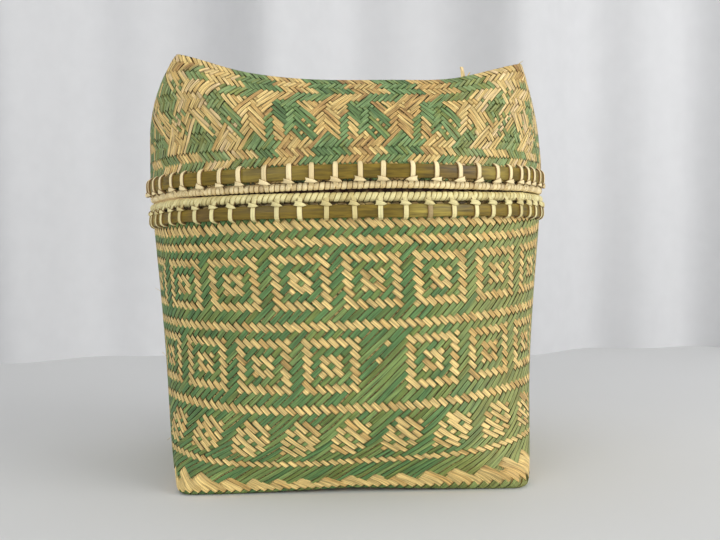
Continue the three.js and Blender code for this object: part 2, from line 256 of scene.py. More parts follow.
def lid_wall(place, rise, below, depth):
    """The wall of the lid: rise is 0 to 1 from its upright foot to the top's edge; below goes down the foot."""
    share = corner_share(place)
    along = np.sign(share) * np.abs(share) ** (1 / (1 + 0.6 * rise))
    side = np.floor(place).astype(int) % 4
    turn = side + (along + 1) / 2 + 3.5
    first = np.floor(turn).astype(int) % 4
    shoulders = np.array([1.8, 2.3, 2.6, 3.0])
    shoulder = mix(shoulders[first], shoulders[(first + 1) % 4], smooth(turn - np.floor(turn)))
    edge = horn_edge(side, np.sign(along) * np.abs(along) ** 1.6)
    half = mix(size("mouth_half"), size("top_half"), rise ** shoulder)
    corner = mix(size("mouth_corner"), size("top_corner"), rise ** 1.55)
    x, y, out_x, out_y = outline(place, half, corner)
    puff = 1.1 * np.exp(-(rise / 0.2) ** 2) + 0.6 * np.exp(-((place % 4 - 3) / 0.5) ** 2) * (1 - rise)
    x, y = x + out_x * (depth + puff), y + out_y * (depth + puff)
    foot = size("lid_straight") + lid_bow(x, y)
    return x, y, mix(foot, size("lid_base") + edge, rise) + depth * rise ** 2 - below


def mat_place(x, y):
    """Ring and place of a point of a square mat whose edges lie at -1 and 1."""
    ring = np.maximum(np.maximum(np.abs(x), np.abs(y)), 1e-6)
    a, b = x / ring, y / ring
    place = np.where((b <= -0.999999) & (np.abs(a) <= 1), 0.5 * a,
                     np.where(a >= 0.999999, 1 + 0.5 * b, np.where(b >= 0.999999, 2 - 0.5 * a, 3 - 0.5 * b)))
    return ring, place


def lid_top(x, y, depth):
    ring, place = mat_place(x, y)
    side = np.floor(place).astype(int) % 4
    edge = horn_edge(side, corner_share(place))
    px, py, _, _ = outline(place, (size("top_half") + depth) * ring, (size("top_corner") + depth) * ring)
    z = size("lid_base") + size("lid_middle") + (edge - size("lid_middle")) * ring ** 2 + depth
    return px, py, z


def base_panel(x, y, depth):
    ring, place = mat_place(x, y)
    fold = size("base_fold")
    reach = size("base_half") - fold
    px, py, _, _ = outline(place, reach * ring, (size("base_corner") - fold) * ring)
    arch = base_arch(np.abs(corner_share(place)))
    lifted = smooth((72.5 - reach * ring) / 28.5)
    return px, py, mix(arch, BASE_LIFT, lifted) - depth


class LidRows:
    """Turns a row of the lid's wall, counted down from the edge of the top, into a point on it.

    The rows are even along the wall, so a table holds the rise for places and shares of its length."""
    steps = 160

    def __init__(self):
        places, rises = np.meshgrid(np.linspace(0, 4, self.steps + 1), np.linspace(1, 0, 81), indexing='ij')
        points = np.array(lid_wall(np.minimum(places, 3.99999), rises, 0 * rises, 0 * rises))
        length = np.cumsum(np.sqrt((np.diff(points, axis=2) ** 2).sum(axis=0)), axis=1)
        length = np.concatenate([np.zeros((self.steps + 1, 1)), length], axis=1)
        shares = np.linspace(0, 1, self.steps + 1)
        self.table = np.array([np.interp(shares, row / row[-1], rises[0]) for row in length])

    def __call__(self, place, row, depth):
        column = np.clip(place % 4 / 4 * self.steps, 0, self.steps - 0.001)
        share = np.clip(row / WALL_ROWS, 0, 1) * self.steps
        c, r = np.floor(column).astype(int), np.clip(np.floor(share).astype(int), 0, self.steps - 1)
        upper, lower = (mix(self.table[c, k], self.table[c + 1, k], column - c) for k in (r, r + 1))
        below = np.clip(row - WALL_ROWS, 0, None) * FOOT_ROW
        return lid_wall(place % 4, np.clip(mix(upper, lower, share - r), 0, 1), below, depth)


def box_row_height(row):
    """Nominal height of a row of the box, counted down from the top; the last ones turn under the base."""
    return np.interp(row, [-4.4, 45, 49, 53.5, 58, 62, 68, 70.3, 73.3, 77],
                     [143.17, 41.9, 34.3, 26.7, 20.4, 15.2, 6.8, 3.8, -1.8, -8.0])


def hand_drift(place, row):
    """How far the hand-laid weave of the front strays from even spacing, in quarters and millimetres.

    Both are sums of powers of the distance from the front's middle and of the distance down."""
    run = around(place)
    x, q = np.clip(run * 1.3, -1, 1), np.clip(row, 0, 68) / 70
    powers = ((0, 0), (1, 0), (2, 0), (3, 0), (0, 1), (1, 1), (2, 1), (0, 2), (1, 2), (2, 2), (3, 1), (4, 0),
              (4, 1))
    sideways = (-0.67, -0.32, -0.92, 0.21, 3.75, 2.78, -3.36, -4.13, -5.4, 8.49, 4.69, 1.9, -2.47)
    upwards = (-0.57, 2.08, -6.0, 1.44, 2.09, 3.95, 23.16, -2.44, -0.94, 5.42, -5.82, 9.21, -26.39)
    front = smooth((1.54 - np.abs(run)) / 0.77)
    shift, lift = (sum(k * x ** a * q ** b for k, (a, b) in zip(factors, powers)) * front
                   for factors in (sideways, upwards))
    return shift / 43, lift


def box_rows(place, row, depth, slide=0.0):
    """A point of the box's wall by its row. slide is how far the last rows are dragged round, in strips."""
    height = box_row_height(row)
    shift, lift = hand_drift(place, row)
    shift = shift + slide * np.clip(row - 66, 0, 7) / 39
    lift = lift * np.clip(height / 9, 0, 1) * np.clip((143 - height) / 12, 0, 1)
    run = around(place)
    tucked = smooth((run - 0.1) / 0.4) * smooth((1.7 - run) / 0.5)
    lift = lift + 2.2 * tucked * smooth((row - 66) / 5) * smooth((77 - row) / 6)
    return box_wall((place + shift) % 4, height + lift, depth)


# ---------------------------------------------------------------- mesh helpers

def new_object(name, mesh, body, replaces, material):
    piece = bpy.data.objects.new(name, mesh)
    bpy.context.scene.collection.objects.link(piece)
    mesh.materials.append(material)
    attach(piece, body)
    if replaces:
        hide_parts(*replaces)


def unit_grid(wide, tall):
    bm = bmesh.new()
    bmesh.ops.create_grid(bm, x_segments=wide, y_segments=tall, size=0.5,
                          matrix=Matrix.Diagonal((wide, tall, 1, 1)))
    return bm


def mesh_from(bm, name, outward=True):
    mesh = bpy.data.meshes.new(name)
    if outward:
        bmesh.ops.recalc_face_normals(bm, faces=bm.faces[:])
    bm.to_mesh(mesh)
    bm.free()
    return mesh


def grid_numbers(mesh, wide, tall):
    """Column, row and height of every point of a mesh made from unit_grid."""
    points = np.empty(len(mesh.vertices) * 3)
    mesh.vertices.foreach_get("co", points)
    x, y, z = points.reshape(-1, 3).T
    return np.rint(x + wide / 2).astype(int), np.rint(y + tall / 2).astype(int), z


def strip_mesh(name, bands, columns, rows, outside=None):
    """Bands side by side in one grid, each with so many columns of points, and solid one unit thick.

    outside says of the middle of a face that it is left out.
    Returns the mesh, and the band, column, row and layer of every point."""
    wide, tall = bands * columns - 1, rows - 1
    bm = unit_grid(wide, tall)
    gaps = [f for f in bm.faces if round(f.calc_center_median().x + wide / 2 - 0.5) % columns == columns - 1]
    bmesh.ops.delete(bm, geom=gaps, context='FACES')
    if outside:
        cut = [f for f in bm.faces if outside(f.calc_center_median())]
        bmesh.ops.delete(bm, geom=cut, context='FACES')
    bmesh.ops.solidify(bm, geom=bm.faces[:], thickness=1.0)
    mesh = mesh_from(bm, name)
    column, row, height = grid_numbers(mesh, wide, tall)
    return mesh, column // columns, column % columns, row, height > -0.5


def set_points(mesh, x, y, z):
    mesh.vertices.foreach_set("co", (np.stack([x, y, z], axis=1) * 0.001).ravel())
    mesh.update()


def corner_points(mesh):
    """The number of the point at every corner of a face."""
    corners = np.empty(len(mesh.loops), dtype=np.int32)
    mesh.loops.foreach_get("vertex_index", corners)
    return corners


def set_strip_data(mesh, across, along, dye, tone, second, domain='POINT'):
    """The strip's own coordinates as a UV map, and its dye and two tones as an attribute."""
    corners = corner_points(mesh) if domain == 'POINT' else slice(None)
    uv = mesh.uv_layers.new(name="strip_run")
    uv.data.foreach_set("uv", np.stack([across[corners], along[corners]], axis=1).ravel())
    look = mesh.attributes.new("strip_look", 'FLOAT_COLOR', domain)
    look.data.foreach_set("color", np.stack([dye, tone, second, np.ones(len(across))], axis=1).ravel())


def turn_outward(mesh, join=0.0):
    """Turns the faces outward. Points less than join apart, in metres, are made one first."""
    bm = bmesh.new()
    bm.from_mesh(mesh)
    if join:
        bmesh.ops.remove_doubles(bm, verts=bm.verts[:], dist=join)
    bmesh.ops.recalc_face_normals(bm, faces=bm.faces[:])
    bm.to_mesh(mesh)
    bm.free()


def at_crossings(strips, crossings, band, column, row):
    """Strip number, crossing, place along and place across of every point: two rows lie at each crossing."""
    crossing = crossings[row // 2]
    run = crossing + np.where(row % 2 == 0, -HALF_CROSSING, HALF_CROSSING)
    return strips[band], crossing, run, np.where(column == 0, -1.0, 1.0)


def interlaced(way, index, other, over, top, ply):
    """Depth of the strips' points, as they pass over and under the strips that cross them.

    ply is how deep the middle of the layer lies, how far a strip rises and falls, and its thickness."""
    middle, lift, thickness = ply
    first, second = (index, other) if way == 1 else (other, index)
    above = over(first, second) == (way == 1)
    return -middle + np.where(above, lift, -lift) + np.where(top, thickness / 2, -thickness / 2)


def wall_strips(name, way, strips, crossings, over, surface, per_side, ply, look, shift=0.0,
                half_width=HALF_STRIP, painted_shade_bounds=(-99, 99), loose=0.06, tint_and_painted_light=None, tight=99):
    """Slanting strips round a wall. way 1 leans to the right going up, way -1 to the left.

    Outside the rows given as bounds of the shade they are darkened with painted shade, where they go in under a
    binding. loose is how unevenly they lie; the function given after loose changes their dye and tone from place
    to place, for undyed caps and for painted light and shade. Below row tight they lie edge to edge."""
    mesh, band, column, row, top = strip_mesh(name, len(strips), 2, 2 * len(crossings))
    index, crossing, run, across = at_crossings(strips, crossings, band, column, row)
    dye, tone, second = look(index)
    half = half_width * (0.9 + 0.13 * second)
    uneven = loose * (np.sin(run * 0.55 + 40 * tone) + 0.7 * np.sin(run * 0.21 + 90 * second))
    half = half * (1 + 0.7 * loose * np.sin(run * 0.83 + 60 * second))
    half = np.where(run > tight, 0.53, half)
    aside = across * half + uneven
    x = index - way * run / 2 + aside / 2
    p = run + way * aside
    depth = interlaced(way, index, index - way * crossing, over, top, ply) + loose * (tone - 0.5)
    # changes dye and tone for undyed caps and for painted light and shade
    if tint_and_painted_light:
        dye, tone = tint_and_painted_light(x, p, dye, tone)
    set_points(mesh, *surface((x + shift) / per_side, np.clip(p, crossings[0], crossings[-1]), depth))
    # painted shade: outside the bounds the whole strip takes the edge colour, where it goes in under a binding
    across = np.where((p < painted_shade_bounds[0]) | (p > painted_shade_bounds[1]), 1.0, across * np.where(run > tight, 0.9, 1.0))
    set_strip_data(mesh, across, run, dye, tone, second)
    return mesh


def mat_strips(name, way, cells, phases, over, surface, ply, look, half_width=HALF_STRIP):
    """Strips of a square mat laid at 45 degrees. cells is the number of strips along one edge.

    phases is how far the strips and the ones that cross them lie off whole numbers."""
    numbers = np.arange(-cells, cells + 1)
    strips, crossings = numbers + phases[0], numbers + phases[1]
    wide, tall = 2 * len(strips) - 1, 2 * len(crossings) - 1

    def outside(middle):
        index = (middle.x + wide / 2 - 0.5) / 2 - cells + phases[0]
        row = middle.y + tall / 2 - 0.5
        run = math.floor(row / 2) - cells + phases[1] + (0 if row % 2 == 0 else 0.5)
        return max(abs(index + run), abs(index - run)) / 2 > cells / 2 + 0.15

    mesh, band, column, row, top = strip_mesh(name, len(strips), 2, tall + 1, outside)
    index, crossing, run, across = at_crossings(strips, crossings, band, column, row)
    u = index + across * half_width
    x, y = (np.clip(value / (cells / 2), -1, 1) for value in ((u + run) / 2, way * (run - u) / 2))
    set_points(mesh, *surface(x, y, interlaced(way, index, crossing, over, top, ply)))
    set_strip_data(mesh, across, run, *look(index))
    return mesh


# ---------------------------------------------------------------- weave patterns

def box_green_over(first, second):
    """Where a green strip lies over a natural one on the box.

    Bands of plain floats part two rows of nested squares, a row of small stars and scallops at the base.
    p counts rows down from the top, and x strips to the right of the front's middle."""
    strips = count("box_strips")
    p = np.rint(first - second).astype(int)
    x = centred(np.rint(first + second) / 2, strips)
    natural = np.isin(p, [-4, -3, 0, 1, 4, 5, 24, 25, 44, 45, 61, 62])

    def nested(row, centre):
        d = np.maximum(np.abs(2 * (x - centre)), np.abs(p - row))
        return np.isin(np.rint(d), [1, 2, 5, 6]) & (np.abs(p - row) <= 6)

    natural |= nested(14, 2 + 8 * np.clip(np.rint((x - 2) / 8), -9, 9))
    right = 9 + 8 * np.clip(np.rint((x - 9) / 8), 0, 9)
    left = -3 - 8 * np.clip(np.rint((-3 - x) / 8), 0, 8)
    natural |= nested(34, np.where(x > 3, right, left))
    natural |= ((x == 3.5) & (p == 29)) | ((x == 2.5) & (p == 33))
    star = -0.5 + 6 * np.rint((x + 0.5) / 6)
    di, dj = (np.rint(x - star + way * (p - 53) / 2).astype(int) for way in (1, -1))
    rows = {4: (0,), 3: (-2, -1, 0, 1), 2: (-3, -2, -1, 1, 2), 1: (-2, -1, 0, 1, 2), 0: (-3, -2, 0, 2, 3),
            -1: (-2, -1, 0, 1, 2), -2: (-2, -1, 1, 2, 3), -3: (-1, 0, 1, 2), -4: (0,)}
    for key, cells in rows.items():
        natural |= (dj == key) & np.isin(di, cells)
    slot = np.rint(second).astype(int) % 3
    corner = np.abs(x % (strips / 4) - strips / 8)
    natural |= (p >= np.where(corner < 3, 69, 70) - slot) & (p <= 71)
    return ~natural


def lid_mat_number(place_cells, rising):
    """Number of a strip in the lid's mat, from where it meets the edge of the top.

    Returns the number and which of the two colour orders it follows."""
    q = count("lid_strips") // 4
    h = q / 2
    x = (place_cells + h) % (4 * q) - h
    side = np.floor((x + h) / q).astype(int)
    first = side % 2 == 0
    if rising:
        return np.choose(side, [x + h, x - h, q + h - x, 2 * q + h - x]), first
    return np.choose(side, [x - h, q + h - x, 2 * q + h - x, x - 3 * q - h]), ~first


def mat_order(number, first):
    """Place of a strip in its run of 14: seven green, then seven natural."""
    return np.floor(number - np.where(first, 1, 11)).astype(int) % (2 * COLOUR_RUN)


def figure_over(order_a, order_b, upper):
    """Which strip lies over inside the figures: order_a and order_b are places in the colour runs."""
    a, b = order_a % COLOUR_RUN, order_b % COLOUR_RUN
    green_a, green_b = order_a < COLOUR_RUN, order_b < COLOUR_RUN
    along, down = a + b, a - b
    both_green = (down <= -3) | ((along >= 5) & (along <= 7) & (down >= -1))
    both_natural = (along <= 4) | ((down <= -2) & (along % 4 < 2)) | ((along >= 10) & (down <= 1))
    mixed_upper = np.where(green_a, (along >= 7) & (down < 2), along < 7)
    mixed_lower = np.where(green_a, ((along >= 4) & (along <= 6)) | (along >= 11),
                           (along >= 9) | ((a % 2 == 0) & (b % 3 == 1)))
    mixed = np.where(upper, mixed_upper, mixed_lower)
    return np.where(green_a & green_b, both_green, np.where(~green_a & ~green_b, both_natural, mixed))


def lid_first_over(first, second):
    """The lid's wall: zigzag rows below the edge of the top, figures, then zigzag rows above the hoop."""
    order_a = mat_order(*lid_mat_number(first, True))
    order_b = mat_order(*lid_mat_number(second, False))
    p = np.rint(first - second).astype(int)
    x = centred((first + second) / 2, count("lid_strips") / 4)
    over = figure_over(order_a, order_b, p < 19)
    top_rows = 12 + 8 * smooth((np.abs(x) - 22) / 4)
    over = np.where(p <= top_rows, np.where(p == 12, 11, p) // 3 % 2 == 1, over)
    green_a, green_b = order_a < COLOUR_RUN, order_b < COLOUR_RUN
    outer = (green_a != green_b) & (np.abs(x) > 24) & (p > 8) & ((first + 2 * second).astype(int) % 5 > 1)
    over = np.where(outer, green_b, over)
    return np.where(p >= 29, (p - 29) // 3 % 2 == 0, over)


def top_first_over(first, second):
    return figure_over(mat_order(first, True), mat_order(second, False), (first - second) % 28 < 14)


def plain_over(first, second):
    return np.rint(first + second).astype(int) % 2 == 0


# ---------------------------------------------------------------- strip looks

def strip_look(total, offset, read):
    """A function that gives strips their dye and two tones from 0 to 1, the same at every run.

    read turns strip numbers into their dye and their places among so many tones."""
    source = np.random.default_rng(count("seed") + offset)
    tone, second = source.random(total), source.random(total)

    def look(index):
        dye, n = read(index)
        return dye, tone[n % total], second[n % total]
    return look


def box_look(way):
    dye = 1.0 if way == 1 else 0.0
    return strip_look(count("box_strips"), 1 if way == 1 else 2,
                      lambda index: (np.full(len(index), dye), np.rint(index).astype(int)))


def read_mat(number, first):
    dye = (mat_order(number, first) < COLOUR_RUN).astype(float)
    return dye, np.floor(number).astype(int) + 200 + np.where(first, 400, 0)


def lid_look(rising):
    return strip_look(1000, 3, lambda index: read_mat(*lid_mat_number(index, rising)))


def top_look(first):
    return strip_look(1000, 3, lambda index: read_mat(index, first))


def plain_look(offset):
    return strip_look(600, offset, lambda index: (np.zeros(len(index)), np.rint(index * 2).astype(int)))


def box_right_painted_light(x, p, dye, tone):
    """The box is painted paler on its right, where green and natural strips differ less: painted light and sheen
    of the light that falls on that side.
    """
    right = smooth((centred(x, count("box_strips")) - 7) / 14)
    paler = np.where(dye > 0.5, 0.42, 0.5) * right
    return dye * (1 - 0.2 * right), np.clip(tone * (1 - 0.3 * right) + paler, 0, 1)


def lid_caps_and_painted_light(x, p, dye, tone):
    """The lid's green is paler towards the horns, which have undyed caps. Paler strips towards the sides of each
    face are painted light, and the darker, browner middle is painted shade.
    """
    side = count("lid_strips") / 4
    outer = smooth((np.abs(centred(x, side)) - 14) / 12)
    tone = np.clip(np.where(dye > 0.5, mix(tone, outer, 0.34), mix(tone, 1 - outer, 0.28)), 0, 1)
    to_horn = np.hypot((x % side) - side / 2, (p + 1) * 0.8)
    return dye * (0.95 - 0.08 * outer) * smooth((to_horn - 5.5) / 1.2), tone


# ---------------------------------------------------------------- materials

def put(tree, socket, value):
    """Gives an input a value, or links it to the output of another node."""
    if isinstance(value, bpy.types.NodeSocket):
        tree.links.new(value, socket)
    else:
        socket.default_value = value


def add(tree, kind, inputs=None, **settings):
    node = tree.nodes.new(kind)
    for key, value in settings.items():
        setattr(node, key, value)
    for key, value in (inputs or {}).items():
        put(tree, node.inputs[key], value)
    return node


def maths(tree, operation, a, b=0.5):
    return add(tree, "ShaderNodeMath", {0: a, 1: b}, operation=operation).outputs[0]


def ramp(tree, factor, stops):
    node = add(tree, "ShaderNodeValToRGB", {"Fac": factor})
    elements = node.color_ramp.elements
    while len(elements) < len(stops):
        elements.new(0.5)
    for element, (position, value) in zip(elements, stops):
        element.position = position
        element.color = value
    return node.outputs["Color"]


def blend(tree, kind, factor, a, b):
    return add(tree, "ShaderNodeMix", {0: factor, 6: a, 7: b}, data_type='RGBA', blend_type=kind).outputs[2]


def fibre_group():
    """Lengthwise fibres, soft blotches and a mask of the edges for a strip of bamboo or rattan."""
    tree = bpy.data.node_groups.get("strip_fibres")
    if tree:
        return tree
    tree = bpy.data.node_groups.new("strip_fibres", 'ShaderNodeTree')
    for labels, way in ((("Across", "Along", "Seed"), 'INPUT'),
                        (("Fibres", "Fine fibres", "Blotches", "Edge", "Crown"), 'OUTPUT')):
        for label in labels:
            tree.interface.new_socket(label, in_out=way, socket_type='NodeSocketFloat')
    across, along, seed = add(tree, "NodeGroupInput").outputs[:3]

    def streaks(wide, long, apart, detail):
        place = add(tree, "ShaderNodeCombineXYZ", {
            "X": maths(tree, 'MULTIPLY', across, wide), "Y": maths(tree, 'MULTIPLY', along, long),
            "Z": maths(tree, 'MULTIPLY', seed, apart)})
        return add(tree, "ShaderNodeTexNoise", {"Scale": 1.0, "Detail": detail, "Roughness": 0.6,
                                                "Vector": place.outputs[0]}).outputs[0]

    side = maths(tree, 'ABSOLUTE', across)
    edge = add(tree, "ShaderNodeMapRange", {"From Min": 0.86, "From Max": 1.0, "Value": side},
               interpolation_type='SMOOTHSTEP')
    add(tree, "NodeGroupOutput", {
        "Fibres": streaks(1.6, 0.14, 173.0, 2.0), "Fine fibres": streaks(4.6, 0.28, 311.0, 3.0),
        "Blotches": streaks(0.35, 0.2, 97.0, 2.0), "Edge": edge.outputs[0],
        "Crown": maths(tree, 'SUBTRACT', 1.0, maths(tree, 'POWER', side, 5.0))})
    return tree


def new_material(name):
    material = bpy.data.materials.new(name)
    material.use_nodes = True
    return material


def made_once(fill):
    """Makes a material the first time, and finds it again by its name."""
    def material(name, *rest):
        found = bpy.data.materials.get(name)
        if not found:
            found = new_material(name)
            fill(found.node_tree, *rest)
        return found
    return material


def strip_inputs(tree):
    """The fibres of the strip, and its dye and tone."""
    run = add(tree, "ShaderNodeUVMap", uv_map="strip_run")
    split = add(tree, "ShaderNodeSeparateXYZ", {0: run.outputs[0]})
    look = add(tree, "ShaderNodeAttribute", attribute_name="strip_look")
    dye, tone, second = add(tree, "ShaderNodeSeparateColor", {0: look.outputs["Color"]}).outputs[:3]
    fibres = add(tree, "ShaderNodeGroup", node_tree=fibre_group())
    for label, value in (("Across", split.outputs[0]), ("Along", split.outputs[1]), ("Seed", second)):
        put(tree, fibres.inputs[label], value)
    return fibres.outputs, dye, tone


def fibred(tree, base, fibres, coarse, fine, fine_share):
    """A colour with the fibres multiplied in: coarse and fine are greys by the strength of the fibres."""
    for label, share, greys in (("Fibres", 1.0, coarse), ("Fine fibres", fine_share, fine)):
        shades = ramp(tree, fibres[label], [(position, (grey, grey, grey, 1.0)) for position, grey in greys])
        base = blend(tree, 'MULTIPLY', share, base, shades)
    return base


def finish_material(tree, base, fibres, roughness, fibre_depth=0.25):
    height = maths(tree, 'ADD', fibres["Crown"], maths(tree, 'MULTIPLY', fibres["Fine fibres"], fibre_depth))
    bump = add(tree, "ShaderNodeBump", {"Strength": 0.6, "Distance": 0.0003, "Height": height})
    rough = add(tree, "ShaderNodeMapRange", {"From Min": 0.3, "From Max": 0.7, "To Min": roughness - 0.08,
                                             "To Max": roughness + 0.1, "Value": fibres["Fibres"]})
    for label, value in (("Specular IOR Level", 0.28), ("Base Color", base), ("Roughness", rough.outputs[0]),
                         ("Normal", bump.outputs[0])):
        put(tree, tree.nodes["Principled BSDF"].inputs[label], value)


@made_once
def strip_material(tree, natural, green, edge_dark=0.9, edge_pale=0.5):
    """Split bamboo strips. natural and green name the stops of their colours from tone 0 to 1.

    edge_dark and edge_pale are how strong the painted shade at their edges is at most and at least; it stands in
    for the shadow in the gaps between the strips."""
    fibres, dye, tone = strip_inputs(tree)
    blotches = maths(tree, 'MULTIPLY', maths(tree, 'SUBTRACT', fibres["Blotches"], 0.5), 0.9)
    wander = maths(tree, 'ADD', tone, blotches)
    pale, dark = (ramp(tree, wander, [(i / (len(names) - 1), paint(n)) for i, n in enumerate(names)])
                  for names in (natural.split(), green.split()))
    base = fibred(tree, blend(tree, 'MIX', dye, pale, dark), fibres, [(0.3, 0.56), (0.5, 0.97), (0.7, 1.32)],
                  [(0.36, 0.56), (0.5, 1.0), (0.64, 1.26)], 0.95)
    # painted shade: the edges are mixed towards the gap colour, patchily along the strip, for the shadow between
    # strips
    patchy = add(tree, "ShaderNodeMapRange", {"From Min": 0.41, "From Max": 0.59, "To Min": edge_pale,
                                              "To Max": 1.0, "Value": fibres["Blotches"]})
    edge = maths(tree, 'MULTIPLY', maths(tree, 'MULTIPLY', fibres["Edge"], edge_dark), patchy.outputs[0])
    finish_material(tree, blend(tree, 'MIX', edge, base, paint("gap")), fibres, 0.54)


@made_once
def rattan_strips(tree, main):
    """Rattan strips of the rims, with brown in stained spots and painted shade at their edges."""
    fibres, stain_and_shade, tone = strip_inputs(tree)
    dark, light = paint(main, 0.80, 0.74, 0.64), paint(main, 1.08)
    base = ramp(tree, tone, [(0.0, dark), (0.6, paint(main)), (1.0, light)])
    base = fibred(tree, base, fibres, [(0.3, 0.80), (0.5, 1.0), (0.7, 1.1)], [(0.3, 0.85), (0.55, 1.02)], 0.7)
    # stained places, and painted shade where the lashings go into the weave
    base = blend(tree, 'MIX', stain_and_shade, base, paint("rattan_shade"))
    # painted shade at the edges, in the gaps between the turns and beside the lashings
    base = blend(tree, 'MIX', maths(tree, 'MULTIPLY', fibres["Edge"], 0.92), base, paint("rattan_shade"))
    finish_material(tree, base, fibres, 0.42)


@made_once
def hoop_strips(tree):
    """Olive brown skin of the hoops, with fine lines along them and paler and greyer places."""
    fibres, stained, pale = strip_inputs(tree)
    base = ramp(tree, fibres["Blotches"], [(0.3, paint("hoop", 0.8)), (0.6, paint("hoop")),
                                           (0.75, paint("hoop", 1.2))])
    base = blend(tree, 'MIX', pale, base, paint("hoop_pale"))
    base = blend(tree, 'MIX', stained, base, paint("hoop_stain"))
    base = fibred(tree, base, fibres, [(0.3, 0.55), (0.5, 1.0), (0.7, 1.35)],
                  [(0.3, 0.65), (0.5, 1.0), (0.7, 1.2)], 0.9)
    # painted shade at the hoops' edges, where they meet the weave and the winding
    base = blend(tree, 'MIX', maths(tree, 'MULTIPLY', fibres["Edge"], 0.6), base, paint("gap"))
    finish_material(tree, base, fibres, 0.45, 0.5)


@made_once
def mottled(tree, scale, detail, dark, light, roughness):
    """A plain surface with soft spots, on object coordinates."""
    place = add(tree, "ShaderNodeTexCoord")
    noise = add(tree, "ShaderNodeTexNoise",
                {"Scale": scale, "Detail": detail, "Vector": place.outputs["Object"]})
    shader = tree.nodes["Principled BSDF"]
    put(tree, shader.inputs["Base Color"], ramp(tree, noise.outputs[0], [(0.3, dark), (0.7, light)]))
    put(tree, shader.inputs["Roughness"], roughness)


def weave_material():
    return strip_material("woven_strips", "tan straw straw amber", "teal teal olive leaf")


def lid_material():
    return strip_material("lid_strips", "pink_straw straw tan amber brown",
                          "deep_teal teal faded_teal olive faded_leaf", 0.95, 0.12)


def plain_material():
    """Undyed strips; what is called green here is a dark red brown band painted on the lip where the rims meet,
    painted shade of the gap between them.
    """
    return strip_material("plain_strips", "plain_dark plain plain", "maroon maroon", 0.6)


def rattan_material(body):
    return rattan_strips(f"rattan_of_{body}", f"rattan_{body}")


# ---------------------------------------------------------------- pieces

class BasketOperator(bpy.types.Operator):
    """Part of the basket"""
    bl_options = {'REGISTER', 'UNDO'}

    def execute(self, context):
        self.make()
        return {'FINISHED'}


def woven():
    """Middle, lift and thickness of the woven layers."""
    return size("wall_middle"), size("strip_lift"), size("strip_thickness")


def in_halves(total):
    """The strips of a wall in two halves, which are pieces of their own."""
    half = total // 2
    return ("right", np.arange(half).astype(float)), ("left", np.arange(half) + float(half))


class BASKET_OT_box_weave(BasketOperator):
    """Wall of the box: green strips one way and natural strips the other, in two halves each"""
    bl_idname = "basket.box_weave"
    bl_label = "Box wall"

    def make(self):
        total, crossings = count("box_strips"), np.arange(-4, 75).astype(float)

        def natural_rows(place, row, depth):
            return box_rows(place, row, depth, 0.17)

        for way, word, rows, tight in ((1, "green", box_rows, 99), (-1, "natural", natural_rows, 67)):
            for half, strips in in_halves(total):
                name = f"box_{word}_strips_{half}"
                mesh = wall_strips(name, way, strips, crossings, box_green_over, rows, total / 4, woven(),
                                   box_look(way), shift=0.25, painted_shade_bounds=(-3.2, 99), tint_and_painted_light=box_right_painted_light, tight=tight)
                new_object(name, mesh, "box", ["body_weave"], weave_material())


class BASKET_OT_box_base(BasketOperator):
    """Base of the box, the same mat seen from below"""
    bl_idname = "basket.box_base"
    bl_label = "Box base"

    def make(self):
        def over(first, second):
            return np.rint(first + second).astype(int) // 2 % 3 != 0

        cells = count("box_strips") // 4
        for way, word, phases in ((1, "natural", (0.9, 0.1)), (-1, "green", (0.1, 0.9))):
            name = f"base_{word}_strips"
            mesh = mat_strips(name, way, cells, phases, over, base_panel, woven(), box_look(-way))
            new_object(name, mesh, "box", [], weave_material())


class BASKET_OT_lid_weave(BasketOperator):
    """Wall of the lid: strips in runs of seven green and seven natural both ways, so that they make diamonds"""
    bl_idname = "basket.lid_weave"
    bl_label = "Lid wall"

    def make(self):
        total, rows, crossings = count("lid_strips"), LidRows(), np.arange(0, 45).astype(float)
        for way, word in WAYS:
            for half, strips in in_halves(total):
                name = f"lid_{word}_strips_{half}"
                mesh = wall_strips(name, way, strips + 0.5, crossings, lid_first_over, rows, total / 4, woven(),
                                   lid_look(way == 1), half_width=0.475, painted_shade_bounds=(-99, 42.6), loose=0.11,
                                   tint_and_painted_light=lid_caps_and_painted_light)
                new_object(name, mesh, "lid", ["lid_weave"], lid_material())


class BASKET_OT_lid_top(BasketOperator):
    """Top of the lid between its raised corners"""
    bl_idname = "basket.lid_top"
    bl_label = "Lid top"

    def make(self):
        for way, word in WAYS:
            name = f"top_{word}_strips"
            mesh = mat_strips(name, way, count("lid_strips") // 4, (0.5, 0.5), top_first_over, lid_top, woven(),
                              top_look(way == 1))
            new_object(name, mesh, "lid", [], lid_material())


